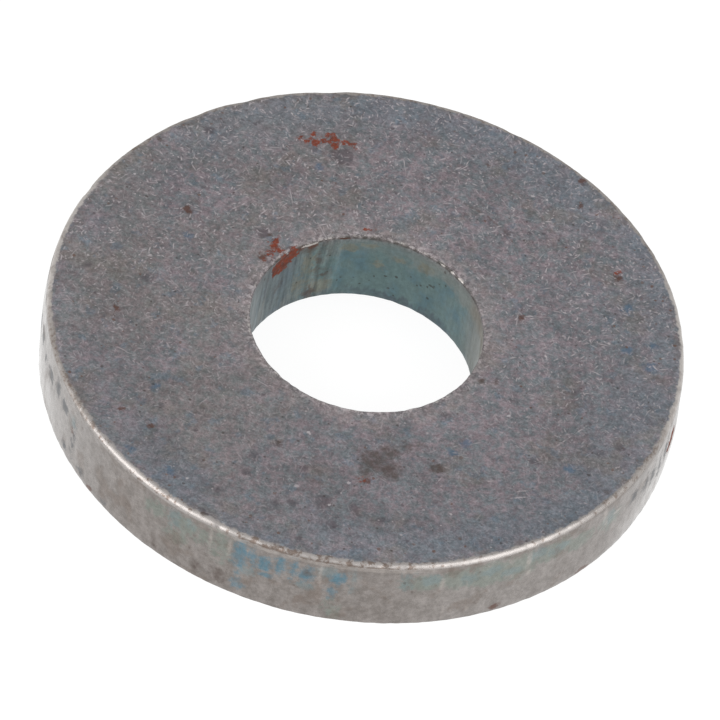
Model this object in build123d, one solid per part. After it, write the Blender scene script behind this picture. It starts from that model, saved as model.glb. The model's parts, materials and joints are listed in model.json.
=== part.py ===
from build123d import *
import os

# Thick flat washer, punched from steel plate: one ring, one solid.
# Millimetres.  The origin is the centre of the hole on the lower bearing face, and +Z runs
# along the hole's axis towards the upper face, whose rim has the edge rolled by the die.

# Driving dimensions.
OUTER_DIAMETER = 30.0
HOLE_DIAMETER = 11.0
THICKNESS = 4.0

# Marks of punching: the cut starts with a rolled edge, runs down a smooth burnished wall and
# ends in a short fractured band, where the metal breaks away from the wall.
RIM_ROLL_RADIUS = 0.22
HOLE_ROLL_RADIUS = 0.08
LOWER_EDGE_RADIUS = 0.05
FRACTURE_HEIGHT = 0.55
RIM_FRACTURE_SETBACK = 0.02
HOLE_FRACTURE_SETBACK = 0.02

OUTER_RADIUS = OUTER_DIAMETER / 2
HOLE_RADIUS = HOLE_DIAMETER / 2


def half_section():
    """Outline of one side of the ring, in the XZ plane: X is the radius and Y the height."""
    outline = Polyline(
        (HOLE_RADIUS + HOLE_FRACTURE_SETBACK, 0),
        (OUTER_RADIUS - RIM_FRACTURE_SETBACK, 0),
        (OUTER_RADIUS, FRACTURE_HEIGHT),
        (OUTER_RADIUS, THICKNESS),
        (HOLE_RADIUS, THICKNESS),
        (HOLE_RADIUS, FRACTURE_HEIGHT),
        close=True,
    )
    return Plane.XZ * make_face(outline)


def circle_at(ring, radius, height):
    """The circular edge of the ring with this radius, at this height."""
    def misfit(edge):
        return abs(edge.radius - radius) + abs(edge.center().Z - height)

    return min(ring.edges().filter_by(GeomType.CIRCLE), key=misfit)


def punched_ring():
    """The washer: the half section turned about the hole's axis, with its four edges rounded."""
    ring = revolve(half_section(), axis=Axis.Z)
    rounded_edges = (
        (OUTER_RADIUS, THICKNESS, RIM_ROLL_RADIUS),
        (HOLE_RADIUS, THICKNESS, HOLE_ROLL_RADIUS),
        (OUTER_RADIUS - RIM_FRACTURE_SETBACK, 0, LOWER_EDGE_RADIUS),
        (HOLE_RADIUS + HOLE_FRACTURE_SETBACK, 0, LOWER_EDGE_RADIUS),
    )
    for radius, height, round_over in rounded_edges:
        ring = fillet(circle_at(ring, radius, height), radius=round_over)
    return ring.solid()


def main():
    os.makedirs("parts", exist_ok=True)
    export_step(punched_ring(), "parts/washer.step")


main()
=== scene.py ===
import json
import math

import bpy
import numpy as np
from mathutils import Matrix, Vector, noise


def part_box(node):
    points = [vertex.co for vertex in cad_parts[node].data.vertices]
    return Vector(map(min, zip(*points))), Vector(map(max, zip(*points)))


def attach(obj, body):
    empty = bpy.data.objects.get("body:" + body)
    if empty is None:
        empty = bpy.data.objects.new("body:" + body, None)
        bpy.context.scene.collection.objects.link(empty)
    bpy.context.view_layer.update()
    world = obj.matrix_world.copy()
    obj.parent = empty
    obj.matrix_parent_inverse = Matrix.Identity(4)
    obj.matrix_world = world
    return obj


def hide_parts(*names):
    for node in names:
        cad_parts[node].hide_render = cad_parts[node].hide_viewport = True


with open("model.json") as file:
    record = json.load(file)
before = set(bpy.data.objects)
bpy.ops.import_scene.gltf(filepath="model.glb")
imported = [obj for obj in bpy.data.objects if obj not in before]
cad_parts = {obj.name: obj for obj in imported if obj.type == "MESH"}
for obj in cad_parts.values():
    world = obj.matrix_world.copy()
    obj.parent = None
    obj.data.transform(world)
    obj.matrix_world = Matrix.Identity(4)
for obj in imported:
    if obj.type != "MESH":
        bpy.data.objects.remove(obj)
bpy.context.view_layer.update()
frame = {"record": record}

# ---- Sizes, in millimetres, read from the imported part.  The scene itself is in metres.
MM = 0.001
_, top_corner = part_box("washer")
bore_mount = next(m for m in frame["record"]["mounts"] if m["name"] == "bore")
OUTER_RADIUS = top_corner.x / MM
THICKNESS = top_corner.z / MM
HOLE_RADIUS = bore_mount["dims"]["r_mm"]

# The camera: a very long lens, rolled a little, that looks down at the front of the washer.
LENS = 443.0
SENSOR_WIDTH = 36.0
CAMERA_DISTANCE = 413.6
CAMERA_ELEVATION = math.radians(47.1)
CAMERA_ROLL = math.radians(10.8)
AIM_RIGHT = -0.33
AIM_UP = -1.71

# The mesh: sections turned about the axis.
SECTIONS = 1440
FRONT_ROLL = 0.28
BACK_ROLL = 0.11
HOLE_EDGE_RADIUS = 0.09
FOOT_RADIUS = 0.04
FRACTURE_HEIGHT = 0.55
FRACTURE_SETBACK = 0.015

# The rolled edge: how much it leans in front, how uneven it is, and its one flat spot (angle in
# degrees, half width in degrees, extra width).
ROLL_LEAN = 0.07
ROLL_UNEVENNESS = 0.15
FLAT_SPOT = (204.0, 5.5, 0.04)

# How far the surface strays from the nominal section, in millimetres.
EDGE_DENTS = 0.012
EDGE_GRAIN = 0.008
FOOT_ROUGHNESS = 0.018
HOLE_RAGGEDNESS = 0.022
OUTLINE_WAVES = 0.014
WALL_FLUTES = 0.003
FACE_WAVES = 0.004


def degrees_apart(angles, centre):
    """Distance of each angle from centre, in degrees, the short way round."""
    return np.abs((angles - centre + 180.0) % 360.0 - 180.0)


def ease(low, high, value):
    """0 below low, 1 above high, and a smooth step between them."""
    t = np.clip((value - low) / (high - low), 0.0, 1.0)
    return t * t * (3.0 - 2.0 * t)


# ---- Geometry
def ring_noise(angles, radius, per_mm, seed):
    """Noise round a circle of the given radius, between -1 and 1, the same at 0 and 360."""
    values = []
    for angle in np.radians(angles):
        where = Vector((math.cos(angle), math.sin(angle), 0.0)) * radius * per_mm
        values.append(noise.noise(where + Vector((0.0, 0.0, seed))))
    return np.array(values)


def surface_noise(points, per_mm, seed):
    """Noise at each of many points, in millimetres, between -1 and 1."""
    flat = points.reshape(-1, 3) * per_mm + seed
    values = [noise.noise(Vector(where)) for where in flat]
    return np.array(values).reshape(points.shape[:-1])


class Section:
    """The outline of the ring's cross section at every angle: a closed row of stations.

    It runs up the hole's wall from the foot, out over the upper face, down the rim and back
    under the ring.
    """

    def __init__(self, angles):
        self.angles = angles
        self.radii = []
        self.heights = []
        self.zones = {}

    def station(self, zone, radius, height):
        self.zones.setdefault(zone, []).append(len(self.radii))
        self.radii.append(radius + np.zeros_like(self.angles))
        self.heights.append(height + np.zeros_like(self.angles))

    def line(self, zone, start, end, fractions):
        """Stations on the straight run between two (radius, height) points."""
        for f in fractions:
            self.station(zone, start[0] + (end[0] - start[0]) * f, start[1] + (end[1] - start[1]) * f)

    def arc(self, zone, centre, size, start, end, steps):
        """Stations on an arc, from its (radius, height) centre, (wide, tall) size and end angles."""
        wide, tall = size
        for turn in np.radians(np.linspace(start, end, steps)):
            self.station(zone, centre[0] + wide * math.cos(turn), centre[1] + tall * math.sin(turn))

    def mask(self, *zones):
        """1 at the stations of these zones, 0 at the others."""
        found = np.zeros(len(self.radii))
        for zone in zones:
            found[self.zones[zone]] = 1.0
        return found


def roll_size(angles):
    """Width and height of the rolled upper edge of the rim: uneven, sharper at the back, flatter at
    the front left and steeper at the front right."""
    turn = np.radians(angles)
    back = ease(0.0, 0.35, np.sin(turn - math.radians(8.0)))
    nominal = FRONT_ROLL + (BACK_ROLL - FRONT_ROLL) * back
    lean = ROLL_LEAN * np.cos(turn) * ease(0.0, 0.4, -np.sin(turn))
    uneven = 1.0 + ROLL_UNEVENNESS * ring_noise(angles, OUTER_RADIUS, 0.22, 3.0)
    middle, half_width, extra = FLAT_SPOT
    flattened = extra * np.exp(-(degrees_apart(angles, middle) / half_width) ** 2)
    return (nominal - lean) * uneven + flattened, (nominal + lean) * uneven


def ring_section(angles):
    """The nominal cross section, with its stations closest together at the edges."""
    section = Section(angles)
    roll, drop = roll_size(angles)
    roll_foot = THICKNESS - drop
    hole_top = THICKNESS - HOLE_EDGE_RADIUS
    even = np.linspace(0.0, 1.0, 9)[1:-1]
    crowded = 0.5 - 0.5 * np.cos(np.linspace(0.0, math.pi, 15)[1:-1])
    hole_foot = HOLE_RADIUS + FRACTURE_SETBACK
    foot_size = (FOOT_RADIUS, FOOT_RADIUS)
    edge_size = (HOLE_EDGE_RADIUS, HOLE_EDGE_RADIUS)
    section.arc("hole_foot", (hole_foot + FOOT_RADIUS, FOOT_RADIUS), foot_size, 270.0, 180.0, 4)
    section.line("hole_foot", (hole_foot, FOOT_RADIUS), (HOLE_RADIUS, FRACTURE_HEIGHT), [0.5])
    section.line("hole", (HOLE_RADIUS, FRACTURE_HEIGHT), (HOLE_RADIUS, hole_top),
                 [0.0, *even, 0.97])
    section.arc("hole_edge", (HOLE_RADIUS + HOLE_EDGE_RADIUS, hole_top), edge_size, 180.0, 90.0, 6)
    section.line("top", (HOLE_RADIUS + HOLE_EDGE_RADIUS, THICKNESS), (OUTER_RADIUS - roll, THICKNESS),
                 [0.004, *crowded, 0.996])
    section.arc("rim_edge", (OUTER_RADIUS - roll, roll_foot), (roll, drop), 90.0, 0.0, 10)
    section.line("rim", (OUTER_RADIUS, roll_foot), (OUTER_RADIUS, FRACTURE_HEIGHT),
                 [0.02, 0.06, *even[1:], 1.0])
    rim_foot = OUTER_RADIUS - FRACTURE_SETBACK
    section.line("rim_foot", (OUTER_RADIUS, FRACTURE_HEIGHT), (rim_foot, FOOT_RADIUS), [0.5])
    section.arc("rim_foot", (rim_foot - FOOT_RADIUS, FOOT_RADIUS), foot_size, 0.0, -90.0, 4)
    section.line("bottom", (rim_foot - FOOT_RADIUS, 0.0), (hole_foot + FOOT_RADIUS, 0.0),
                 [0.01, 0.05, 0.2, 0.4, 0.6, 0.8, 0.95, 0.99])
    return section


# Nicks in the upper edge of the rim: (angle in degrees, half width, depth).
RIM_NICKS = (
    (121.0, 0.50, 0.07), (105.5, 0.50, 0.05), (131.0, 0.40, 0.03), (70.0, 0.45, 0.03),
    (35.0, 0.40, 0.03), (12.0, 0.30, 0.03), (160.0, 0.35, 0.03), (345.0, 0.35, 0.03),
    (251.0, 0.20, 0.05), (256.5, 0.22, 0.03), (262.0, 0.20, 0.03), (275.0, 0.22, 0.03),
    (281.0, 0.20, 0.03), (311.0, 0.25, 0.03),
)

# Places where the rim swells out a little: (angle in degrees, half length, height, how far).
RIM_BULGES = ((357.0, 9.0, 1.4, 0.12), (182.0, 9.0, 2.3, 0.10))
BULGE_HALF_HEIGHT = 1.5

# Stretches of the hole's upper edge with a raised burr: (middle in degrees, half length, height).
HOLE_BURRS = ((52.0, 22.0, 0.06), (98.0, 16.0, 0.06), (127.0, 9.0, 0.07), (352.0, 8.0, 0.03))


def rim_nicks(angles):
    """Depth of the nicks along the rim's upper edge."""
    depth = np.zeros_like(angles)
    for centre, half_width, deepest in RIM_NICKS:
        along = np.radians(degrees_apart(angles, centre)) * OUTER_RADIUS
        depth = np.maximum(depth, deepest * np.exp(-(along / half_width) ** 2))
    return depth


def hole_burrs(angles):
    """Height of the burr along the hole's upper edge."""
    height = np.zeros_like(angles)
    for centre, half_length, tallest in HOLE_BURRS:
        height = np.maximum(height, tallest * (1.0 - ease(0.5 * half_length, half_length,
                                                           degrees_apart(angles, centre))))
    coarse = ease(-0.30, 0.30, ring_noise(angles, HOLE_RADIUS, 1.1, 11.0))
    fine = ease(-0.35, 0.35, ring_noise(angles, HOLE_RADIUS, 4.4, 12.0))
    return height * (0.2 + 0.8 * coarse) * (0.5 + 0.5 * fine)


def ring_points(section):
    """Every vertex: the nominal section, then the marks of punching and tumbling."""
    radii = np.array(section.radii).T
    heights = np.array(section.heights).T
    step_r = np.roll(radii, -1, axis=1) - np.roll(radii, 1, axis=1)
    step_z = np.roll(heights, -1, axis=1) - np.roll(heights, 1, axis=1)
    length = np.hypot(step_r, step_z)
    out_r, out_z = -step_z / length, step_r / length

    angles = section.angles
    cosines = np.cos(np.radians(angles))[:, None]
    sines = np.sin(np.radians(angles))[:, None]
    nominal = np.stack([radii * cosines, radii * sines, heights], axis=2)

    rim_edge = section.mask("rim_edge")
    hole_edge = section.mask("hole_edge")
    feet = section.mask("rim_foot", "hole_foot")
    walls = section.mask("rim", "hole", "rim_edge", "hole_edge")
    push = np.zeros_like(radii)

    push -= rim_edge * EDGE_DENTS * ease(0.05, 0.45, surface_noise(nominal, 1.7, 20.0))
    push += (rim_edge + hole_edge) * EDGE_GRAIN * surface_noise(nominal, 3.6, 40.0)
    push += feet * FOOT_ROUGHNESS * surface_noise(nominal, 2.6, 60.0)
    push -= rim_edge * rim_nicks(angles)[:, None]

    ragged = HOLE_RAGGEDNESS * ring_noise(angles, HOLE_RADIUS, 1.3, 5.0)
    ragged += HOLE_RAGGEDNESS * ring_noise(angles, HOLE_RADIUS, 3.1, 7.0)
    push += hole_edge * ragged[:, None]
    outline = OUTLINE_WAVES * ring_noise(angles, OUTER_RADIUS, 0.35, 9.0)
    push += section.mask("rim_edge", "rim", "rim_foot") * outline[:, None]
    for middle, half_length, tallest, swell in RIM_BULGES:
        along = np.exp(-(degrees_apart(angles, middle) / half_length) ** 2)[:, None]
        up = np.exp(-((heights - tallest) / BULGE_HALF_HEIGHT) ** 2)
        push += section.mask("rim", "rim_foot") * swell * along * up
    push += walls * WALL_FLUTES * ring_noise(angles, OUTER_RADIUS, 2.4, 13.0)[:, None]
    push += section.mask("top", "bottom") * FACE_WAVES * surface_noise(nominal, 0.5, 80.0)

    crest = np.zeros(len(section.radii))
    on_edge = section.zones["hole_edge"]
    crest[on_edge] = np.sin(np.linspace(0.15, 1.0, len(on_edge)) * math.pi)
    lift = crest * hole_burrs(angles)[:, None]

    radii = radii + push * out_r
    heights = np.maximum(heights + push * out_z + lift, 0.0)
    return np.stack([radii * cosines, radii * sines, heights], axis=2)


def set_attribute(mesh, name, per_station):
    """Stores one number per vertex, the same all the way round the ring."""
    layer = mesh.attributes.new(name, "FLOAT", "POINT")
    layer.data.foreach_set("value", np.tile(per_station, SECTIONS).astype(np.float32))


def softened(mask):
    """A mask along the closed row of stations, blurred a little."""
    return 0.25 * np.roll(mask, 1) + 0.5 * mask + 0.25 * np.roll(mask, -1)


# The texture square for baking, shared out between the ring's zones: the two faces are discs,
# given by their middle and radius, and the two walls are unrolled and cut into rows.
TOP_DISC = (0.335, 0.335, 0.33)
BOTTOM_DISC = (0.75, 0.75, 0.24)
# Rows, left and right end, foot of the first row, height of a row and gap between rows.
RIM_ROWS = (4, 0.01, 0.48, 0.675, 0.074, 0.006)
HOLE_ROWS = (3, 0.69, 0.98, 0.02, 0.105, 0.006)


def disc_corner(points, place, side, station):
    """Texture position of the vertices of a flat face, as seen from above."""
    middle_u, middle_v, radius = place
    flat = np.roll(points[:, station, :2], -side, axis=0)
    return flat / OUTER_RADIUS * radius + (middle_u, middle_v)


def row_corner(fraction, place, side):
    """Texture position of the vertices of a wall, at a fraction of the way across it."""
    rows, left, right, foot, tall, gap = place
    turn = np.arange(SECTIONS) * rows / SECTIONS
    row = np.floor(turn)
    u = left + (right - left) * (turn - row + side * rows / SECTIONS)
    v = foot + row * (tall + gap) + tall * fraction
    return np.stack([u, v], axis=1)


def set_bake_layout(mesh, section, points):
    """Adds the texture layer named OFBake, laid out for baking."""
    stations = points.shape[1]
    steps = np.linalg.norm(np.diff(points[0], axis=0), axis=1)
    travel = np.concatenate([[0.0], np.cumsum(steps)])
    hole_end, top_end = section.zones["hole_edge"][-1], section.zones["rim_edge"][0]
    rim_end = section.zones["rim_foot"][-1]

    def corner(near, side, station):
        if near < hole_end:
            return row_corner(travel[station] / travel[hole_end], HOLE_ROWS, side)
        if near < top_end:
            return disc_corner(points, TOP_DISC, side, station)
        if near < rim_end:
            length = travel[rim_end] - travel[top_end]
            return row_corner((travel[station] - travel[top_end]) / length, RIM_ROWS, side)
        return disc_corner(points, BOTTOM_DISC, side, station)

    quads = []
    for near in range(stations):
        far = (near + 1) % stations
        order = ((0, near), (0, far), (1, far), (1, near))
        quads.append(np.stack([corner(near, side, station) for side, station in order], axis=1))
    layer = mesh.uv_layers.new(name="OFBake")
    layer.data.foreach_set("uv", np.stack(quads, axis=1).reshape(-1).astype(np.float32))


def make_ring():
    """The visible washer: one closed mesh of quads."""
    angles = np.arange(SECTIONS) * 360.0 / SECTIONS
    section = ring_section(angles)
    points = ring_points(section)
    stations = points.shape[1]
    this, following = np.arange(SECTIONS)[:, None], np.roll(np.arange(SECTIONS), -1)[:, None]
    near, far = np.arange(stations)[None, :], np.roll(np.arange(stations), -1)[None, :]
    quads = np.stack([this * stations + near, this * stations + far,
                      following * stations + far, following * stations + near], axis=2)

    mesh = bpy.data.meshes.new("steel_ring")
    mesh.from_pydata((points.reshape(-1, 3) * MM).tolist(), [], quads.reshape(-1, 4).tolist())
    mesh.polygons.foreach_set("use_smooth", np.ones(len(mesh.polygons), bool))
    set_bake_layout(mesh, section, points)
    set_attribute(mesh, "bore", softened(section.mask("hole", "hole_foot")))
    mesh.update()
    ring = bpy.data.objects.new("steel_ring", mesh)
    bpy.context.scene.collection.objects.link(ring)
    return ring


# ---- Materials
def seen(red, green, blue):
    """A colour given as it looks, from 0 to 255, as the linear value that a shader takes."""
    linear = [((c / 255.0 + 0.055) / 1.055) ** 2.4 for c in (red, green, blue)]
    return (*linear, 1.0)


BLUE_GREY = seen(118, 124, 128)
MAUVE_GREY = seen(140, 129, 134)
BROWN_GREY = seen(122, 116, 111)
COOL_GREY = seen(114, 121, 129)
WARM_GREY = seen(126, 121, 115)
PALE_WEAR = seen(152, 142, 140)
TEAL = seen(106, 121, 133)
DARK_SPOT = seen(88, 81, 86)
FACE_BLUE = seen(80, 108, 132)
DARK_SPECK = seen(72, 64, 60)
BROWN_SPECK = seen(108, 82, 70)
EDGE_BROWN = seen(110, 96, 88)
SCRATCH = seen(190, 182, 185)
FLECK = seen(202, 196, 198)
STAIN = seen(88, 77, 72)
BROWN = seen(96, 68, 58)
RUST = seen(109, 52, 36)
RUST_DARK = seen(78, 46, 38)
RIM_GREY = seen(137, 131, 127)
RIM_LIGHT = seen(148, 142, 139)
RIM_DARK = seen(118, 112, 108)
# Light grey of the painted reflection on the rim's flanks, ends and foot.
RIM_SHEEN = seen(206, 204, 202)
RIM_CHIP = seen(178, 170, 164)
RIM_SHADE = seen(84, 90, 96)
RIM_BLUE = seen(92, 123, 137)
RIM_TEAL = seen(118, 135, 138)
RIM_SAGE = seen(124, 134, 126)
RIM_BROWN = seen(114, 102, 94)
WORN_STEEL = seen(165, 160, 157)
# Bright bare steel of the burrs, also used for the painted highlight at both ends of the rolled edge.
BRIGHT_WEAR_AND_HIGHLIGHT = seen(196, 191, 187)
CORNER_BROWN = seen(80, 77, 73)
EDGE_PALE = seen(160, 155, 151)
EDGE_GREY = seen(122, 110, 103)
BORE_TEAL = seen(98, 117, 117)
BORE_BLUE = seen(88, 111, 118)
BORE_OLIVE = seen(118, 117, 105)
BORE_GREY = seen(117, 122, 119)
BORE_WARM = seen(126, 120, 114)
BORE_BROWN = seen(116, 106, 92)
BORE_MAUVE = seen(104, 103, 109)
BORE_SHADE = seen(80, 88, 94)
PIT_BROWN = seen(56, 50, 44)


# Where one finish turns into the next, in millimetres: radius, and height above the lower face.
RIM_FROM = (14.86, 14.95)
WORN_FROM = (14.69, 14.81)
WORN_ABOVE = (3.71, 3.82)
RELIEF_DEPTH = 0.010


class Graph:
    """Builds a material's nodes from short calls; each call gives back an output socket."""

    def __init__(self, tree):
        self.tree = tree

    def add(self, kind, feeds=None, **settings):
        node = self.tree.nodes.new("ShaderNode" + kind)
        for name, value in settings.items():
            setattr(node, name, value)
        for name, value in (feeds or {}).items():
            self.feed(node.inputs[name], value)
        return node

    def feed(self, socket, value):
        if isinstance(value, bpy.types.NodeSocket):
            self.tree.links.new(value, socket)
        else:
            socket.default_value = value

    def math(self, operation, a, b=0.0):
        node = self.add("Math", {0: a, 1: b}, operation=operation)
        return node.outputs[0]

    def times(self, first, *others):
        for other in others:
            first = self.math("MULTIPLY", first, other)
        return first

    def plus(self, first, *others):
        for other in others:
            first = self.math("ADD", first, other)
        return first

    def minus(self, a, b):
        return self.math("SUBTRACT", a, b)

    def size(self, a):
        return self.math("ABSOLUTE", a)

    def larger(self, a, b):
        return self.math("MAXIMUM", a, b)

    def vector(self, operation, a, b=(0.0, 0.0, 0.0)):
        node = self.add("VectorMath", {0: a, 1: b}, operation=operation)
        return node.outputs["Value" if operation in ("DISTANCE", "LENGTH") else "Vector"]

    def stretch(self, where, x, y, z):
        return self.vector("MULTIPLY", where, (x, y, z))

    def shift(self, where, x, y, z):
        return self.vector("ADD", where, (x, y, z))

    def noise(self, where, per_mm, detail=3.0, rough=0.55):
        node = self.add("TexNoise", {"Vector": where, "Scale": per_mm, "Detail": detail, "Roughness": rough})
        return node.outputs["Fac"]

    def ramp(self, value, low, high, to_low=0.0, to_high=1.0):
        """A smooth step from to_low at low to to_high at high."""
        node = self.add("MapRange", {"Value": value, "From Min": low, "From Max": high,
                                     "To Min": to_low, "To Max": to_high},
                        interpolation_type="SMOOTHSTEP")
        return node.outputs[0]

    # The inputs of a Mix node: 0 is the factor, 2 and 3 are numbers, 6 and 7 are colours.
    def mix(self, factor, a, b):
        """Colour a, turning to colour b as the factor goes to 1."""
        node = self.add("Mix", {0: factor, 6: a, 7: b}, data_type="RGBA")
        return node.outputs[2]

    def fade(self, factor, a, b):
        """Number a, turning to number b as the factor goes to 1."""
        node = self.add("Mix", {0: factor, 2: a, 3: b}, data_type="FLOAT")
        return node.outputs[0]

    def shade(self, colour, amount):
        """The colour made darker or lighter by a number near 1."""
        node = self.add("VectorMath", {0: colour, "Scale": amount}, operation="SCALE")
        return node.outputs["Vector"]

    def attribute(self, name):
        return self.add("Attribute", attribute_name=name).outputs["Fac"]

    def axes(self, where):
        node = self.add("SeparateXYZ", {0: where})
        return node.outputs[0], node.outputs[1], node.outputs[2]


def scratch_layer(g, where, per_mm, length, width, share):
    """Short straight scratches at random angles, at most one in each cell of a pattern."""
    cell = g.add("TexVoronoi", {"Vector": where, "Scale": per_mm}, voronoi_dimensions="2D")
    turn, size, chance = g.axes(cell.outputs["Color"])
    x, y, _ = g.axes(g.vector("SUBTRACT", where, cell.outputs["Position"]))
    turn = g.times(turn, math.pi)
    cosine, sine = g.math("COSINE", turn), g.math("SINE", turn)
    along = g.size(g.plus(g.times(x, cosine), g.times(y, sine)))
    across = g.size(g.minus(g.times(y, cosine), g.times(x, sine)))
    reach = g.times(g.plus(size, 0.35), length)
    inside = g.ramp(g.math("DIVIDE", along, reach), 1.0, 0.2)
    thin = g.ramp(across, width, 0.1 * width)
    strength = g.ramp(chance, 1.0 - share, 1.0)
    return g.times(inside, thin, strength)


# Layers of scratches: (cells per millimetre, half length, half width, share of cells scratched).
BOLD_SCRATCHES = (
    (1.0, 0.25, 0.050, 0.60), (1.6, 0.18, 0.052, 0.70), (2.4, 0.12, 0.050, 0.75), (0.6, 0.55, 0.044, 0.34),
    (1.9, 0.16, 0.050, 0.70), (2.9, 0.10, 0.048, 0.60),
)
FAINT_SCRATCHES = ((1.3, 0.34, 0.045, 0.8), (1.9, 0.20, 0.045, 0.8), (2.7, 0.12, 0.045, 0.8))


def scratches(g, where, layers):
    """Light, slightly bent scratches on the flat faces, from several layers."""
    bent = g.add("TexNoise", {"Vector": where, "Scale": 1.4, "Detail": 1.0}).outputs["Color"]
    bent = g.vector("ADD", where, g.vector("MULTIPLY", bent, (0.22, 0.22, 0.0)))
    marks = 0.0
    for layer in layers:
        per_mm = layer[0]
        place = g.shift(bent, 37.0 * per_mm, 21.0 * per_mm, 0.0)
        marks = g.larger(scratch_layer(g, place, *layer), marks)
    return marks


def spots(g, where, per_mm, size, share):
    """Small round spots of random size, at most one in each cell of a pattern."""
    cell = g.add("TexVoronoi", {"Vector": where, "Scale": per_mm}, voronoi_dimensions="3D")
    wide, chance, _ = g.axes(cell.outputs["Color"])
    reach = g.times(g.plus(wide, 0.3), size * per_mm)
    ragged = g.plus(cell.outputs["Distance"], g.ramp(g.noise(where, 4.0, 2.0), 0.3, 0.7, -0.08, 0.08))
    inside = g.ramp(g.math("DIVIDE", ragged, reach), 1.0, 0.45)
    return g.times(inside, g.ramp(chance, 1.0 - share, 1.0 - 0.6 * share))


def hairlines(g, where, lines):
    """1 on any of these straight lines of the upper face."""
    marks = 0.0
    for start, end, half_width in lines:
        middle = on_face(0.5 * (start[0] + end[0]), 0.5 * (start[1] + end[1]))
        turn = math.atan2(end[1] - start[1], end[0] - start[0])
        half_length = 0.5 * math.dist(start, end)
        offset = g.vector("SUBTRACT", where, middle)
        turned = g.add("VectorRotate", {"Vector": offset, "Angle": -turn}, rotation_type="Z_AXIS")
        along, across, _ = g.axes(turned.outputs[0])
        along = g.ramp(g.size(along), half_length, 0.7 * half_length)
        across = g.ramp(g.size(across), half_width, 0.3 * half_width)
        marks = g.larger(g.times(along, across), marks)
    return marks


def on_face(x, y):
    return (x, y, THICKNESS)


def on_wall(radius, degrees, height):
    return (radius * math.cos(math.radians(degrees)), radius * math.sin(math.radians(degrees)), height)


# Marks.  On the faces each is given as x, y and half width; on the walls as angle in degrees,
# height, half width and, where that differs, half height.
def face_marks(*marks):
    return [(on_face(x, y), half_width) for x, y, half_width in marks]


def underside_marks(*marks):
    return [((x, y, 0.0), half_width) for x, y, half_width in marks]


def rim_marks(*marks):
    return [(on_wall(OUTER_RADIUS, degrees, height), *size) for degrees, height, *size in marks]


def hole_marks(*marks):
    return [(on_wall(HOLE_RADIUS, degrees, height), *size) for degrees, height, *size in marks]


RUST_MARKS = (
    *face_marks(
        (-4.75, 11.15, 0.18), (-4.35, 11.0, 0.14), (-4.0, 10.95, 0.2), (-3.65, 11.15, 0.18),
        (-3.3, 11.4, 0.28), (-3.1, 11.0, 0.2), (-2.7, 11.2, 0.08), (-2.3, 11.25, 0.2), (-4.1, 11.5, 0.08),
        (-5.0, 4.12, 0.22), (-4.95, 3.75, 0.22), (-5.15, 3.1, 0.16), (-5.05, 3.4, 0.18),
        (-4.7, 3.45, 0.16), (-5.25, 2.9, 0.12),
    ),
    *hole_marks((138.0, 3.75, 0.36), (141.5, 3.58, 0.5), (145.0, 3.42, 0.5), (148.5, 3.28, 0.4)),
    *face_marks((-0.95, 5.88, 0.07), (-0.62, 6.0, 0.08), (1.15, -9.77, 0.16), (11.2, 6.2, 0.1)),
    *rim_marks(
        (352.3, 2.1, 0.46, 0.32), (353.6, 2.4, 0.34, 0.3), (351.0, 1.8, 0.18, 0.18), (96.0, 1.8, 0.45),
        (97.5, 1.2, 0.3), (30.0, 3.1, 0.3),
    ),
    *underside_marks((6.1, 7.4, 0.4), (6.6, 7.0, 0.3), (-9.0, -3.2, 0.35), (2.2, -12.6, 0.25)),
)
BROWN_MARKS = (
    *face_marks(
        (-9.35, 5.1, 0.16), (-9.2, 4.9, 0.14), (11.25, 5.95, 0.18), (-5.35, 2.95, 0.22),
        (-11.6, -2.0, 0.14), (8.8, 11.75, 0.13), (8.93, 10.08, 0.1), (4.35, 11.65, 0.08),
        (7.1, 2.2, 0.14), (-10.4, -8.15, 0.12), (-8.95, -8.87, 0.14), (1.32, -9.8, 0.18),
    ),
    *rim_marks(
        (303.0, 0.35, 0.24, 0.2), (322.5, 0.15, 0.36, 0.16), (221.6, 0.15, 0.18, 0.14),
        (214.0, 2.1, 0.1, 0.16),
    ),
    *hole_marks((132.0, 3.85, 0.2, 0.12), (125.5, 3.75, 0.24, 0.14), (109.0, 3.9, 0.3, 0.06)),
)
# Dark soft spots on the faces, thickest towards the front.
SOFT_SPOTS = face_marks(
    (-2.92, -8.54, 0.22), (-3.96, -9.5, 0.22), (-5.32, -12.0, 0.2), (-4.24, -10.6, 0.22),
    (-5.72, -13.5, 0.26), (-2.61, -12.2, 0.18), (-0.42, -11.5, 0.44), (-1.81, -11.9, 0.22),
    (0.95, -11.6, 0.26), (2.34, -12.0, 0.2), (-1.63, -9.66, 0.16), (0.2, -10.7, 0.18),
    (-1.17, -14.0, 0.2), (0.17, -12.8, 0.22), (4.35, -4.8, 0.22), (7.32, -2.93, 0.18), (12.6, -4.7, 0.22),
    (11.8, -5.37, 0.22), (-10.4, 0.22, 0.3), (-9.06, 10.45, 0.26), (-13.3, 0.42, 0.18),
    (-8.76, 6.65, 0.14), (-2.62, 10.35, 0.55), (-5.65, 4.45, 0.34), (5.67, 7.41, 0.26),
    (10.2, -1.86, 0.16), (8.74, -6.66, 0.24),
)
FACE_BLUES = (
    *face_marks(
        (13.4, 0.6, 0.28), (13.3, 2.0, 0.16), (12.2, 1.4, 0.18), (10.4, -6.6, 0.2), (5.0, -7.0, 0.18),
        (5.6, -6.3, 0.2), (-9.05, -6.4, 0.16), (-7.6, -11.4, 0.18), (-9.6, -10.6, 0.16), (11.9, 4.0, 0.2),
        (-3.6, 9.4, 0.16), (-9.0, 3.4, 0.18),
    ),
    *underside_marks((-7.0, -7.5, 0.3), (9.5, 6.0, 0.25)),
)
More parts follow.
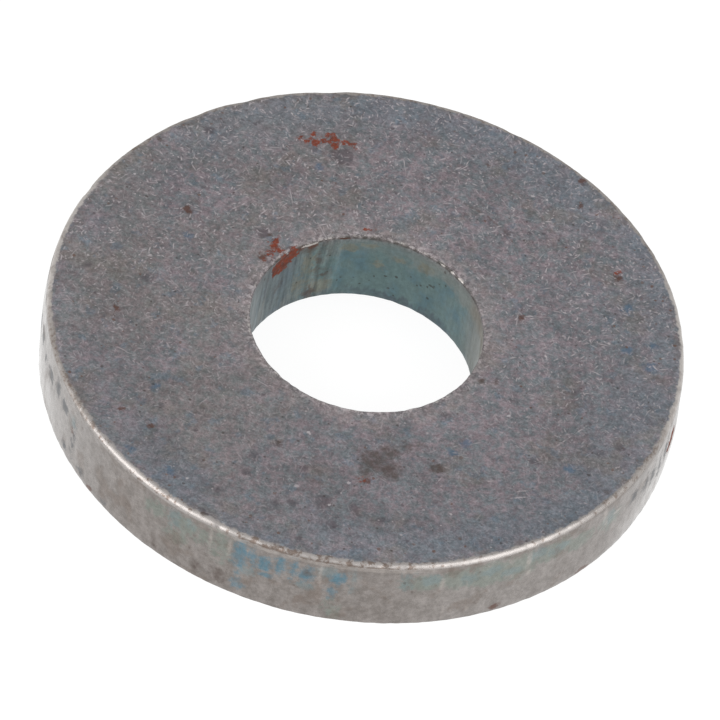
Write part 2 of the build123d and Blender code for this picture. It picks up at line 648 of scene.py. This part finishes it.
STAINS = (
    *face_marks(
        (1.5, -8.45, 0.66), (2.3, -8.85, 0.56), (2.1, -7.8, 0.44), (2.8, -7.2, 0.26), (3.4, -6.95, 0.16),
        (1.3, -9.1, 0.3),
    ),
    *hole_marks(
        (123.3, 0.5, 0.2, 0.34), (118.5, 3.5, 0.14, 0.38), (128.0, 3.65, 0.34, 0.26),
        (116.5, 1.55, 0.14, 0.22), (134.0, 3.75, 0.26, 0.16), (144.0, 1.9, 0.2, 0.22),
    ),
    *rim_marks(
        (252.0, 0.8, 0.35, 0.4), (247.7, 0.6, 0.1, 0.22), (267.8, 2.9, 0.14, 0.12),
        (238.8, 0.5, 0.1, 0.25),
    ),
    *hole_marks((126.5, 3.6, 0.4, 0.26), (120.5, 2.6, 0.12, 0.8)),
    *underside_marks((-4.0, 9.0, 0.6), (8.0, -6.0, 0.5), (-10.5, 2.0, 0.3)),
)
CRISP_STAINS = (
    *face_marks(
        (4.25, -8.22, 0.24), (4.5, -8.15, 0.24), (-2.95, -8.45, 0.12), (-5.2, 4.45, 0.12),
        (-5.72, -13.6, 0.14), (12.35, -7.6, 0.12),
    ),
    *hole_marks((123.3, 0.45, 0.24, 0.4), (117.0, 1.55, 0.16, 0.14)),
    *face_marks((5.72, -2.25, 0.12), (6.41, -2.07, 0.14), (-11.3, 9.2, 0.12)),
)
BLUE_PATCHES = rim_marks(
    (255.5, 2.75, 0.3, 0.95), (257.8, 2.9, 0.18, 0.45), (260.2, 2.7, 0.34, 0.42), (263.0, 3.0, 0.24, 0.5),
    (265.5, 2.9, 0.12, 0.4), (267.8, 2.8, 0.3, 0.45), (273.5, 2.85, 0.38, 0.36),
    (255.9, 0.75, 0.22, 0.28), (272.4, 1.95, 0.16, 0.26), (260.5, 2.0, 0.3, 0.14),
)
TEAL_PATCHES = rim_marks(
    (242.3, 3.0, 0.34, 0.55), (271.5, 3.15, 0.46, 0.42), (276.0, 2.85, 0.16, 0.45),
    (285.8, 3.0, 0.26, 0.45), (290.0, 3.0, 0.5, 0.35), (296.8, 2.85, 0.34, 0.34), (301.0, 3.0, 0.5, 0.3),
    (310.5, 3.2, 0.5, 0.35), (315.0, 2.9, 0.55, 0.35), (213.7, 2.6, 0.26, 0.35), (268.0, 2.0, 0.4, 0.24),
    (305.0, 2.55, 0.5, 0.25), (328.0, 2.8, 0.4, 0.4), (257.0, 1.9, 0.4, 0.3), (245.6, 3.1, 0.2, 0.25),
)
SAGE_PATCHES = rim_marks(
    (238.5, 2.8, 0.7, 0.45), (244.5, 2.9, 0.8, 0.5), (248.2, 2.9, 0.4, 0.5), (251.8, 2.8, 0.5, 0.85),
    (289.0, 2.85, 1.1, 0.5), (295.0, 2.9, 1.1, 0.6), (301.0, 2.8, 1.4, 0.8), (307.0, 2.8, 0.9, 0.8),
    (314.0, 2.9, 1.2, 0.6), (320.0, 2.6, 0.9, 0.5), (328.0, 2.5, 0.7, 0.55), (273.2, 0.7, 0.3, 0.4),
    (243.0, 1.9, 0.6, 0.4),
)
PALE_CHIPS = rim_marks(
    (292.0, 2.7, 0.12, 0.34), (308.5, 3.0, 0.11, 0.45), (308.8, 2.05, 0.12, 0.16),
    (326.2, 3.25, 0.12, 0.4), (326.9, 2.6, 0.1, 0.3), (330.0, 2.75, 0.3, 0.1), (253.6, 3.0, 0.09, 0.45),
    (270.2, 3.0, 0.07, 0.4), (293.0, 0.7, 0.07, 0.3), (297.5, 0.6, 0.06, 0.24), (249.8, 3.0, 0.08, 0.4),
)
HOLE_OLIVE = hole_marks(
    (127.0, 2.3, 0.24, 0.9), (131.0, 1.3, 0.26, 0.6), (124.5, 2.2, 0.16, 1.2), (90.0, 2.3, 0.22, 0.3),
    (105.0, 3.25, 0.5, 0.24), (96.0, 3.45, 0.4, 0.14), (118.0, 0.8, 0.5, 0.5), (66.0, 3.1, 0.3, 0.28),
    (80.0, 2.9, 0.24, 0.16),
)
PITS = hole_marks(
    (85.5, 1.6, 0.09, 0.05), (61.0, 2.2, 0.16, 0.06), (59.6, 2.3, 0.07, 0.04), (67.0, 1.85, 0.05),
    (80.0, 1.75, 0.06), (83.0, 0.85, 0.07), (62.0, 1.3, 0.05), (68.8, 1.75, 0.04), (57.0, 2.65, 0.05),
    (55.0, 3.65, 0.06), (109.0, 1.0, 0.06), (101.0, 1.2, 0.04), (107.5, 1.2, 0.05), (131.5, 1.45, 0.07),
    (158.0, 3.45, 0.08), (97.5, 0.8, 0.04), (93.0, 1.1, 0.04), (73.0, 2.1, 0.04),
)
# Bright scraps of burr that hang over the hole's upper edge.
BRIGHT_BURRS = hole_marks(
    (124.5, 3.89, 0.14, 0.06), (127.5, 3.88, 0.2, 0.07), (130.5, 3.91, 0.16, 0.05),
    (57.0, 3.97, 0.14, 0.05), (50.5, 3.97, 0.12, 0.05), (44.0, 3.97, 0.2, 0.05),
)
# Long soft shadows of old oxide on the two flanks of the rim.
RIM_SHADES = rim_marks(
    (187.0, 2.0, 0.35, 0.45), (192.3, 2.5, 0.42, 0.42), (196.9, 2.3, 0.18, 0.2), (201.4, 2.4, 0.36, 0.36),
    (206.1, 2.8, 0.28, 0.46), (210.1, 2.7, 0.34, 0.3), (214.6, 1.7, 0.12, 0.45), (212.0, 0.5, 0.26, 0.2),
    (218.3, 0.5, 0.24, 0.18), (225.9, 0.3, 0.14, 0.12), (335.4, 2.6, 0.28, 0.4), (340.2, 2.3, 0.26, 0.5),
    (343.0, 2.2, 0.2, 0.45), (346.5, 1.9, 0.18, 0.5), (349.5, 2.4, 0.25, 0.6),
)

# Single strokes on the upper face, each with both ends and its half width: light scrapes, and one
# old brown arc scored round the hole.
LIGHT_LINES = (
    ((9.6, -5.5), (10.9, -3.8), 0.05), ((8.1, -8.7), (9.1, -8.3), 0.05), ((6.7, -8.4), (7.3, -8.2), 0.05),
    ((7.8, -9.2), (8.9, -8.8), 0.05), ((6.0, 10.9), (6.7, 11.2), 0.05), ((13.5, -2.2), (13.9, -2.1), 0.09),
    ((12.3, -6.2), (12.8, -5.9), 0.07), ((9.9, -4.6), (10.4, -4.4), 0.04),
)
BROWN_ARC = (
    ((1.2, 9.3), (2.3, 9.2), 0.08), ((2.2, 9.2), (3.4, 8.9), 0.08), ((3.3, 8.9), (4.6, 8.3), 0.09),
    ((4.5, 8.4), (5.7, 7.4), 0.08), ((5.6, 7.5), (6.5, 6.3), 0.07),
)


def marked(g, where, marks, ragged, soft):
    """1 inside any of the marks, with ragged edges of the given softness, in millimetres."""
    nearest = 100.0
    for middle, half_width, *half_height in marks:
        tall = half_height[0] if half_height else half_width
        offset = g.vector("SUBTRACT", where, middle)
        round_offset = g.stretch(offset, 1.0, 1.0, half_width / tall)
        edge = g.minus(g.vector("LENGTH", round_offset), half_width)
        nearest = g.math("MINIMUM", edge, nearest)
    torn = g.ramp(g.noise(where, 3.2, 5.0, 0.65), 0.25, 0.75, -ragged, ragged)
    return g.ramp(g.plus(nearest, torn), soft, -soft)


def overlay(g, where, colour, marks, ragged, soft, strength, tone):
    """The colour with these marks over it, in another tone."""
    return g.mix(g.times(marked(g, where, marks, ragged, soft), strength), colour, tone)


def face_colour(g, where, radius):
    """Tumbled faces: a fine mottle of mauve and blue grey, warmer or cooler in broad areas."""
    x, y, _ = g.axes(where)
    colour = g.mix(g.ramp(g.noise(where, 1.9, 7.0, 0.76), 0.36, 0.64), BLUE_GREY, MAUVE_GREY)
    warm = g.times(g.ramp(x, 2.0, -7.0), g.ramp(g.noise(where, 0.22, 3.0), 0.38, 0.58))
    colour = g.mix(g.times(warm, 0.36), colour, WARM_GREY)
    outside = g.times(g.ramp(radius, 11.0, 14.0), g.ramp(g.size(y), 5.0, 10.5, 0.32, 0.62))
    cool = g.plus(g.times(g.ramp(x, 7.0, 12.5), 0.25), outside)
    cool = g.times(cool, g.ramp(g.noise(g.shift(where, 9.0, 2.0, 0.0), 0.30, 5.0), 0.34, 0.56))
    colour = g.mix(g.times(cool, g.ramp(x, -12.0, -6.0, 0.5, 1.0)), colour, COOL_GREY)
    cloud = g.ramp(g.noise(g.shift(where, 31.0, 7.0, 0.0), 0.45, 6.0, 0.65), 0.52, 0.66, 0.0, 0.5)
    colour = g.mix(cloud, colour, BROWN_GREY)
    patch = g.ramp(g.noise(g.shift(where, 3.0, 50.0, 0.0), 1.3, 4.0), 0.58, 0.68, 0.0, 0.45)
    colour = g.mix(patch, colour, TEAL)
    uneven_radius = g.plus(radius, g.ramp(g.noise(where, 1.6, 4.0), 0.3, 0.7, -0.6, 0.6))
    colour = g.mix(g.times(g.ramp(uneven_radius, 6.9, 5.7), 0.42), colour, PALE_WEAR)
    coarse = g.ramp(g.noise(where, 0.55, 3.0), 0.3, 0.7, 0.91, 1.09)
    middle = g.ramp(g.noise(g.shift(where, 1.0, 8.0, 0.0), 3.2, 4.0, 0.72), 0.3, 0.7, 0.79, 1.21)
    fine = g.ramp(g.noise(where, 8.0, 2.0, 0.7), 0.3, 0.7, 0.84, 1.16)
    paler = g.times(g.ramp(radius, 11.0, 6.0, 0.985, 1.035), g.ramp(radius, 12.4, 14.3, 1.0, 1.08))
    return g.shade(colour, g.times(coarse, middle, fine, paler))


# Layers of spots on the faces: (cells per millimetre, size, share of cells, strength, colour).
FACE_SPOTS = (
    (0.9, 0.16, 0.50, 0.35, DARK_SPOT), (1.4, 0.10, 0.60, 0.55, DARK_SPOT),
    (2.3, 0.065, 0.60, 0.60, DARK_SPECK), (1.6, 0.080, 0.40, 0.70, BROWN_SPECK),
)


def worn_face(g, where, radius):
    """The face's colour with its spots and scratches, and how scratched it is at each point."""
    colour = face_colour(g, where, radius)
    colour = overlay(g, where, colour, FACE_BLUES, 0.22, 0.20, 0.6, FACE_BLUE)
    colour = overlay(g, where, colour, SOFT_SPOTS, 0.14, 0.14, 0.55, DARK_SPOT)
    for per_mm, size, share, strength, tone in FACE_SPOTS:
        place = g.shift(where, 13.0 * per_mm, 29.0 * per_mm, 0.0)
        colour = g.mix(g.times(spots(g, place, per_mm, size, share), strength), colour, tone)
    near_edge = g.ramp(radius, 12.8, 14.2)
    rusty = spots(g, g.shift(where, 6.0, 60.0, 0.0), 2.0, 0.095, 0.8)
    colour = g.mix(g.times(rusty, near_edge, 0.75), colour, BROWN_SPECK)
    edge_band = g.times(g.ramp(radius, 14.40, 14.62), g.ramp(g.noise(where, 1.4, 4.0), 0.46, 0.64))
    colour = g.mix(g.times(edge_band, 0.3), colour, EDGE_BROWN)

    x, y, _ = g.axes(where)
    scuffed = g.ramp(g.noise(g.shift(where, 70.0, 4.0, 0.0), 0.7, 3.0), 0.38, 0.60, 0.45, 1.0)
    scuffed = g.times(scuffed, g.ramp(y, -10.0, 4.0, 0.40, 1.12))
    bold = g.times(scratches(g, where, BOLD_SCRATCHES), scuffed)
    faint = g.times(scratches(g, where, FAINT_SCRATCHES), g.ramp(y, -11.0, 4.0, 0.24, 0.46))
    lines = g.larger(g.times(bold, 0.9), faint)
    colour = g.mix(g.times(lines, 0.95), colour, SCRATCH)
    broken = g.ramp(g.noise(where, 4.5, 3.0, 0.65), 0.42, 0.60, 0.1, 1.0)
    colour = g.mix(g.times(hairlines(g, where, LIGHT_LINES), broken, 0.65), colour, SCRATCH)
    colour = g.mix(g.times(hairlines(g, where, BROWN_ARC), broken, 0.4), colour, BROWN)
    dots = spots(g, g.shift(where, 17.0, 33.0, 0.0), 2.6, 0.050, 0.6)
    colour = g.mix(g.times(dots, 0.5), colour, SCRATCH)
    flecks = spots(g, g.shift(where, 40.0, 4.0, 0.0), 1.2, 0.080, 0.35)
    colour = g.mix(g.times(flecks, 0.6), colour, FLECK)
    by_hole = g.ramp(radius, 6.05, 5.65)
    dented = g.ramp(g.noise(g.shift(where, 20.0, 5.0, 0.0), 3.4, 3.0, 0.65), 0.50, 0.62)
    colour = g.mix(g.times(by_hole, dented, 0.5), colour, DARK_SPOT)
    chipped = g.ramp(g.noise(where, 3.8, 3.0, 0.65), 0.52, 0.62)
    chipped = g.times(by_hole, chipped, g.ramp(x, 2.0, 4.5, 0.55, 0.3))
    return g.mix(chipped, colour, FLECK), lines


def streaks(g, where, per_mm, stretch, detail=4.0):
    """Noise drawn out along the height of a wall, as a punch leaves it."""
    return g.noise(g.stretch(where, 1.0, 1.0, stretch), per_mm, detail, 0.62)


def oxide_columns(g, where, upper):
    """Random patches of blue oxide under the edge, on the back half of the rim."""
    _, y, _ = g.axes(where)
    column = g.ramp(streaks(g, g.shift(where, 5.0, 5.0, 3.0), 1.1, 0.35), 0.55, 0.62)
    sparse = g.ramp(g.noise(g.shift(where, 8.0, 2.0, 0.0), 0.16, 2.0), 0.45, 0.55)
    return g.times(column, sparse, upper, g.ramp(y, -3.0, 1.0))


def rim_painted_sheen(g, where, height):
    """How much painted reflection lightens the rim: more on its two flanks and at its two ends, and most
    near the foot.
    """
    x, _, _ = g.axes(where)
    flank = g.ramp(g.size(x), 12.4, 15.0)
    uneven_height = g.plus(height, g.ramp(streaks(g, where, 1.2, 0.3), 0.3, 0.7, -0.6, 0.6))
    foot = g.times(flank, g.ramp(uneven_height, 2.2, 0.6))
    left = g.ramp(x, -9.0, -13.0, 0.0, 0.22)
    right = g.times(g.ramp(x, 3.0, 7.0), g.ramp(x, 12.0, 8.5, 0.03, 0.10))
    ends = g.plus(g.ramp(x, 14.0, 14.6, 0.0, 0.20), g.ramp(x, -14.5, -14.9, 0.0, 0.40))
    return g.plus(left, right, g.plus(ends, g.times(foot, 0.55)))


def rim_colour(g, where, height, shaded):
    """The burnished rim: warm grey, lightened on its flanks by painted reflection, with blue and sage
    patches of oxide near its upper edge.
    """
    colour = g.mix(g.ramp(g.noise(where, 1.8, 6.0, 0.75), 0.36, 0.64), RIM_DARK, RIM_LIGHT)
    colour = g.mix(0.35, colour, RIM_GREY)
    # Painted reflection: the rim's flanks, its two ends and its foot turn light grey.
    colour = g.mix(rim_painted_sheen(g, where, height), colour, RIM_SHEEN)
    colour = g.mix(g.times(shaded, 0.66), colour, RIM_SHADE)
    colour = overlay(g, where, colour, SAGE_PATCHES, 0.45, 0.34, 0.60, RIM_SAGE)
    colour = overlay(g, where, colour, TEAL_PATCHES, 0.24, 0.24, 0.50, RIM_TEAL)
    upper = g.times(g.ramp(height, 1.7, 2.9), g.ramp(height, 3.85, 3.6))
    blue = g.larger(marked(g, where, BLUE_PATCHES, 0.18, 0.22), oxide_columns(g, where, upper))
    shown = g.ramp(streaks(g, where, 2.4, 0.4, 3.0), 0.3, 0.6, 0.62, 0.92)
    colour = g.mix(g.times(blue, shown), colour, RIM_BLUE)
    smudge = g.ramp(g.noise(g.shift(where, 15.0, 3.0, 8.0), 0.8, 5.0), 0.54, 0.68, 0.0, 0.5)
    colour = g.mix(smudge, colour, RIM_BROWN)
    under_edge = g.times(g.ramp(height, 3.15, 3.50), g.ramp(g.noise(where, 1.2, 4.0), 0.46, 0.62))
    x, y, _ = g.axes(where)
    front = g.times(g.ramp(g.size(x), 6.0, 4.5), g.ramp(y, -10.0, -13.0))
    colour = g.mix(g.times(under_edge, g.ramp(front, 0.0, 1.0, 0.30, 0.0)), colour, RIM_BROWN)
    lower_line = g.times(g.ramp(height, 3.52, 3.62), g.ramp(height, 3.84, 3.76))
    lower_line = g.times(lower_line, g.ramp(g.noise(where, 2.2, 4.0), 0.36, 0.58, 0.4, 1.0))
    colour = g.mix(g.times(lower_line, front, 0.38), colour, RIM_CHIP)
    colour = overlay(g, where, colour, PALE_CHIPS, 0.08, 0.09, 0.5, RIM_CHIP)
    specks = g.times(spots(g, g.shift(where, 2.0, 9.0, 0.0), 1.5, 0.08, 0.5), 0.4)
    colour = g.mix(specks, colour, STAIN)
    grain = g.ramp(g.noise(where, 4.0, 5.0, 0.75), 0.3, 0.7, 0.88, 1.12)
    flutes = g.ramp(streaks(g, where, 1.8, 0.12), 0.3, 0.7, 0.95, 1.05)
    return g.shade(colour, g.times(grain, flutes))


def bore_colour(g, where, height):
    """The hole's wall: a teal film with olive streaks, pits, and a toothed lower band."""
    x, y, _ = g.axes(where)
    colour = g.mix(g.ramp(g.noise(where, 1.0, 6.0, 0.7), 0.42, 0.70), BORE_TEAL, BORE_BLUE)
    upper = g.plus(height, g.ramp(g.noise(where, 0.9, 4.0), 0.3, 0.7, -0.5, 0.5))
    greyer = g.ramp(x, 0.0, 3.0, 0.35, 0.85)
    colour = g.mix(g.times(g.ramp(upper, 2.6, 3.3), greyer), colour, BORE_GREY)
    colour = g.mix(g.times(g.ramp(x, 4.2, 5.2), 0.55), colour, BORE_WARM)
    colour = g.mix(g.times(g.ramp(x, 4.4, 5.0), g.ramp(upper, 2.0, 3.2, 0.0, 0.5)), colour, BORE_BROWN)
    colour = g.mix(g.ramp(x, -2.9, -4.2, 0.0, 0.40), colour, BORE_MAUVE)
    rougher_side = g.ramp(x, -1.2, -2.6)
    grey = g.ramp(streaks(g, g.shift(where, 4.0, 1.0, 5.0), 1.6, 0.3), 0.48, 0.68)
    colour = g.mix(g.times(grey, g.plus(0.15, g.times(rougher_side, 0.6))), colour, BORE_GREY)
    colour = overlay(g, where, colour, HOLE_OLIVE, 0.25, 0.20, 0.7, BORE_OLIVE)
    dark = g.ramp(streaks(g, g.shift(where, 9.0, 3.0, 2.0), 4.2, 0.20), 0.54, 0.68)
    colour = g.mix(g.times(dark, g.times(rougher_side, 0.75)), colour, BORE_SHADE)
    teeth = g.ramp(streaks(g, where, 4.6, 0.04, 1.0), 0.38, 0.62, -0.14, 0.14)
    torn = g.plus(height, g.plus(teeth, g.ramp(g.noise(where, 0.8, 2.0), 0.35, 0.65, -0.15, 0.15)))
    here = g.times(g.ramp(y, 3.2, 5.0, 0.25, 0.75), g.ramp(x, -1.6, 0.4, 0.55, 1.0))
    here = g.times(here, g.ramp(g.noise(where, 2.6, 3.0), 0.35, 0.6, 0.45, 1.0))
    colour = g.mix(g.times(g.ramp(torn, 0.58, 0.30), here), colour, BORE_SHADE)
    pits = g.larger(marked(g, where, PITS, 0.04, 0.03), spots(g, where, 2.0, 0.055, 0.4))
    colour = g.mix(g.times(pits, 0.65), colour, PIT_BROWN)
    grain = g.ramp(g.noise(where, 4.0, 5.0, 0.75), 0.3, 0.7, 0.86, 1.14)
    flutes = g.ramp(streaks(g, where, 4.2, 0.07), 0.3, 0.7, -1.0, 1.0)
    depth = g.plus(0.03, g.times(rougher_side, 0.20))
    side = g.times(g.ramp(x, -3.0, -4.4, 1.0, 0.92), g.ramp(x, 2.2, 4.2, 1.0, 1.05))
    side = g.times(side, g.ramp(height, 3.45, 3.85, 1.0, 0.90))
    return g.shade(colour, g.times(grain, side, g.plus(1.0, g.times(flutes, depth))))


def worn_edge(g, where, radius):
    """1 on the rolled upper edge of the rim, where tumbling has rubbed the oxide off."""
    x, y, _ = g.axes(where)
    flank = g.times(g.ramp(g.size(x), 9.5, 12.5), g.ramp(y, 2.0, -1.0))
    uneven = g.plus(radius, g.ramp(g.noise(where, 2.4, 4.0, 0.65), 0.3, 0.7, -0.07, 0.07))
    narrower = g.larger(g.times(flank, 0.02), g.ramp(y, 0.0, 3.0, 0.0, 0.05))
    return g.ramp(g.minus(uneven, narrower), *WORN_FROM)


def wear_height(g, where):
    """Height, as the wear sees it: at the left front the rubbed band reaches further down."""
    x, y, height = g.axes(where)
    left_front = g.times(g.ramp(x, -12.5, -10.5), g.ramp(x, -4.5, -7.0))
    return g.plus(height, g.times(left_front, g.ramp(y, -7.0, -9.0), 0.12))


def edge_colour(g, where):
    """The rubbed edge: bright beads on brown, with painted shade that makes it duller at the very front and
    towards the right, and a painted highlight that makes it brightest at both ends.
    """
    x, y, height = g.axes(where)
    front = g.times(g.ramp(g.size(x), 5.4, 3.0), g.ramp(y, -10.0, -13.0))
    flank = g.times(g.ramp(g.size(x), 10.5, 13.0), g.ramp(y, 2.0, -1.0))
    rubbed = g.plus(g.ramp(y, 0.0, -12.0, 0.0, 0.10), g.ramp(x, 2.0, 12.0, 0.0, 0.05))
    # Painted shade: fewer bright beads at the very front and on the front flanks.
    rubbed = g.plus(rubbed, g.times(g.plus(g.times(front, 0.6), g.times(flank, 0.7)), -0.12))
    beads = g.ramp(g.plus(g.noise(where, 2.6, 4.0, 0.70), rubbed), 0.44, 0.58)
    # Painted shade: the edge is darkened towards the right.
    colour = g.shade(g.mix(beads, EDGE_GREY, WORN_STEEL), g.ramp(x, 2.0, 9.0, 1.0, 0.93))
    pale = g.times(g.larger(flank, g.ramp(y, -1.0, 2.0)), g.ramp(g.noise(where, 3.4, 4.0, 0.7), 0.36, 0.60))
    colour = g.mix(g.times(pale, 0.85), colour, EDGE_PALE)
    # Painted highlight: both ends of the edge, as seen from the camera, turn bright steel grey.
    ends = g.times(g.ramp(g.size(x), 12.6, 14.2), g.ramp(y, -5.0, -1.5))
    ends = g.times(ends, g.ramp(g.noise(where, 1.8, 4.0, 0.7), 0.34, 0.54, 0.35, 0.9))
    colour = g.mix(ends, colour, BRIGHT_WEAR_AND_HIGHLIGHT)
    brown_line = g.times(g.ramp(height, 3.88, 3.84), g.ramp(height, 3.76, 3.81))
    brown_line = g.times(brown_line, g.ramp(g.noise(where, 1.6, 4.0), 0.36, 0.50))
    return g.mix(g.times(brown_line, front, 0.7), colour, RIM_BROWN)


def hole_corner(g, where, radius):
    """1 on the dull dark corner where the hole's wall meets the face, round the back of the hole."""
    x, y, height = g.axes(where)
    corner = g.times(g.ramp(radius, 5.58, 5.53), g.ramp(height, 3.80, 3.92))
    sides = g.times(g.ramp(x, 5.35, 4.70), g.ramp(x, -5.35, -4.90))
    broken = g.ramp(g.noise(where, 2.6, 4.0, 0.7), 0.36, 0.60, 0.35, 1.0)
    return g.times(corner, broken, g.times(sides, g.ramp(y, -2.0, 1.0)))


def hole_crest(g, where, radius):
    """1 on the bright beads of burr along the hole's upper edge."""
    x, _, _ = g.axes(where)
    crest = g.times(g.ramp(radius, 5.51, 5.56), g.ramp(radius, 5.70, 5.61))
    stretches = g.ramp(g.noise(g.shift(where, 5.0, 7.0, 0.0), 0.9, 2.0), 0.45, 0.57, 0.15, 1.0)
    beads = g.ramp(g.noise(where, 5.0, 4.0, 0.75), 0.49, 0.58)
    beads = g.times(crest, g.ramp(x, 4.9, 4.4, 0.25, 1.0), g.times(stretches, beads))
    return g.larger(beads, marked(g, where, BRIGHT_BURRS, 0.05, 0.04))


def steel_material():
    """Bare carbon steel, punched and tumbled: one shader, its colour, gloss and relief by zone."""
    material = bpy.data.materials.new("punched_steel")
    material.use_nodes = True
    tree = material.node_tree
    tree.nodes.clear()
    g = Graph(tree)

    metres = g.add("TexCoord").outputs["Object"]
    where = g.stretch(metres, 1.0 / MM, 1.0 / MM, 1.0 / MM)
    _, _, height = g.axes(where)
    radius = g.vector("LENGTH", g.stretch(where, 1.0, 1.0, 0.0))
    bore = g.attribute("bore")
    rim = g.ramp(radius, *RIM_FROM)
    worn = g.times(worn_edge(g, where, radius), g.ramp(wear_height(g, where), *WORN_ABOVE))

    face, lines = worn_face(g, where, radius)
    shaded = marked(g, where, RIM_SHADES, 0.22, 0.22)
    colour = g.mix(rim, face, rim_colour(g, where, height, shaded))
    colour = g.mix(bore, colour, bore_colour(g, where, height))
    colour = g.mix(worn, colour, edge_colour(g, where))
    corner = hole_corner(g, where, radius)
    colour = g.mix(g.times(corner, 0.85), colour, CORNER_BROWN)
    bright_burr = hole_crest(g, where, radius)

    shown = g.ramp(g.noise(where, 2.2, 5.0, 0.7), 0.3, 0.6, 0.3, 0.75)
    stain = g.times(marked(g, where, STAINS, 0.22, 0.28), shown)
    stain = g.larger(stain, g.times(marked(g, where, CRISP_STAINS, 0.12, 0.12), g.plus(shown, 0.1)))
    colour = g.mix(stain, colour, STAIN)
    colour = overlay(g, where, colour, BROWN_MARKS, 0.16, 0.10, 0.8, BROWN)
    colour = g.mix(g.times(bright_burr, 0.85), colour, BRIGHT_WEAR_AND_HIGHLIGHT)
    rust = marked(g, where, RUST_MARKS, 0.22, 0.09)
    rust = g.times(rust, g.ramp(g.noise(where, 6.0, 3.0, 0.7), 0.32, 0.52, 0.75, 1.0))
    rust_tone = g.mix(g.ramp(g.noise(where, 3.2, 5.0, 0.75), 0.40, 0.60), RUST, RUST_DARK)
    colour = g.mix(rust, colour, rust_tone)

    rough = g.ramp(g.noise(where, 1.8, 4.0), 0.3, 0.7, 0.46, 0.62)
    rough = g.fade(g.times(lines, 0.6), rough, 0.34)
    rim_rough = g.ramp(streaks(g, where, 2.2, 0.4), 0.3, 0.7, 0.18, 0.32)
    rim_rough = g.fade(shaded, rim_rough, 0.5)
    rough = g.fade(rim, rough, rim_rough)
    bore_rough = g.ramp(streaks(g, where, 2.2, 0.2), 0.3, 0.7, 0.38, 0.55)
    rough = g.fade(bore, rough, bore_rough)
    rough = g.fade(g.larger(worn, bright_burr), rough, 0.46)
    rough = g.fade(corner, rough, 0.7)
    rough = g.fade(rust, g.fade(stain, rough, 0.6), 0.9)

    grain = g.times(g.noise(where, 5.0, 4.0, 0.7), 0.5)
    relief = g.minus(grain, g.times(lines, 0.35))
    wall_relief = g.times(streaks(g, where, 3.0, 0.08), 0.8)
    relief = g.fade(g.larger(rim, bore), relief, wall_relief)
    relief = g.plus(relief, g.times(rust, g.noise(where, 7.0, 3.0)))
    bump = g.add("Bump", {"Height": relief, "Strength": 0.6, "Distance": RELIEF_DEPTH * MM})

    shader = g.add("BsdfPrincipled", {
        "Base Color": colour,
        "Roughness": rough,
        "Metallic": g.minus(1.0, rust),
        "Specular IOR Level": 0.2,
        "Normal": bump.outputs[0],
    })
    output = g.add("OutputMaterial")
    tree.links.new(shader.outputs[0], output.inputs["Surface"])
    return material


# ---- Stage, light and camera
# Metres, and linear grey levels.
FLOOR_HALF_WIDTH = 6.0
FLOOR_GREY = 0.16
FLOOR_GLOW = 0.88
BOX_DISTANCE = 0.60
BOX_HEIGHT = 0.54
BOX_ELEVATION = math.radians(24.0)


def make_floor():
    """A plain pale floor that glows, like the opal sheet of a light table."""
    half = FLOOR_HALF_WIDTH
    mesh = bpy.data.meshes.new("floor")
    corners = [(-half, -half, 0.0), (half, -half, 0.0), (half, half, 0.0), (-half, half, 0.0)]
    mesh.from_pydata(corners, [], [(0, 1, 2, 3)])
    material = bpy.data.materials.new("pale_floor")
    material.use_nodes = True
    shader = material.node_tree.nodes["Principled BSDF"]
    finish = {
        "Base Color": (FLOOR_GREY, FLOOR_GREY, FLOOR_GREY, 1.0),
        "Roughness": 0.9,
        "Specular IOR Level": 0.1,
        "Emission Color": (1.0, 1.0, 1.0, 1.0),
        "Emission Strength": FLOOR_GLOW,
    }
    for name, value in finish.items():
        shader.inputs[name].default_value = value
    mesh.materials.append(material)
    floor = bpy.data.objects.new("floor", mesh)
    bpy.context.scene.collection.objects.link(floor)


def make_soft_box(name, azimuth, width, radiance):
    """A soft box that faces the washer, given by its direction and how bright its front looks."""
    light = bpy.data.lights.new(name, "AREA")
    light.shape = "RECTANGLE"
    light.size = width
    light.size_y = BOX_HEIGHT
    light.energy = 4.0 * radiance * width * BOX_HEIGHT
    lamp = bpy.data.objects.new(name, light)
    level = BOX_DISTANCE * math.cos(BOX_ELEVATION)
    height = BOX_DISTANCE * math.sin(BOX_ELEVATION)
    lamp.location = (level * math.cos(azimuth), level * math.sin(azimuth), height)
    lamp.rotation_euler = (-lamp.location).to_track_quat("-Z", "Y").to_euler()
    bpy.context.scene.collection.objects.link(lamp)


def make_world():
    """Even pale light from all round, dimmer in front, where the camera stands."""
    world = bpy.data.worlds.new("studio")
    bpy.context.scene.world = world
    world.use_nodes = True
    world.node_tree.nodes.clear()
    g = Graph(world.node_tree)
    direction = g.add("TexCoord").outputs["Generated"]
    _, back, _ = g.axes(direction)
    strength = g.ramp(back, -0.98, -0.85, 0.50, 0.82)
    background = g.add("Background", {"Color": (1.0, 1.0, 1.0, 1.0), "Strength": strength})
    output = g.add("OutputWorld")
    world.node_tree.links.new(background.outputs[0], output.inputs["Surface"])


def make_camera():
    """The camera, aimed a little off the middle of the upper face, to place the washer in view."""
    data = bpy.data.cameras.new("camera")
    data.lens = LENS
    data.sensor_width = SENSOR_WIDTH
    camera = bpy.data.objects.new("camera", data)
    tilt = Matrix.Rotation(math.pi / 2 - CAMERA_ELEVATION, 4, "X")
    turn = tilt @ Matrix.Rotation(CAMERA_ROLL, 4, "Z")
    from_centre = turn @ Vector((AIM_RIGHT, AIM_UP, CAMERA_DISTANCE))
    centre = Vector((0.0, 0.0, THICKNESS))
    camera.matrix_world = Matrix.Translation((centre + from_centre) * MM) @ turn
    bpy.context.scene.collection.objects.link(camera)
    bpy.context.scene.camera = camera


ring = make_ring()
ring.data.materials.append(steel_material())
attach(ring, "root")
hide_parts("washer")

make_floor()
make_world()
make_soft_box("left_box", math.radians(210.0), width=0.50, radiance=2.6)
make_soft_box("right_box", math.radians(325.0), width=0.48, radiance=2.4)
make_camera()
bpy.context.scene.view_settings.view_transform = "Standard"
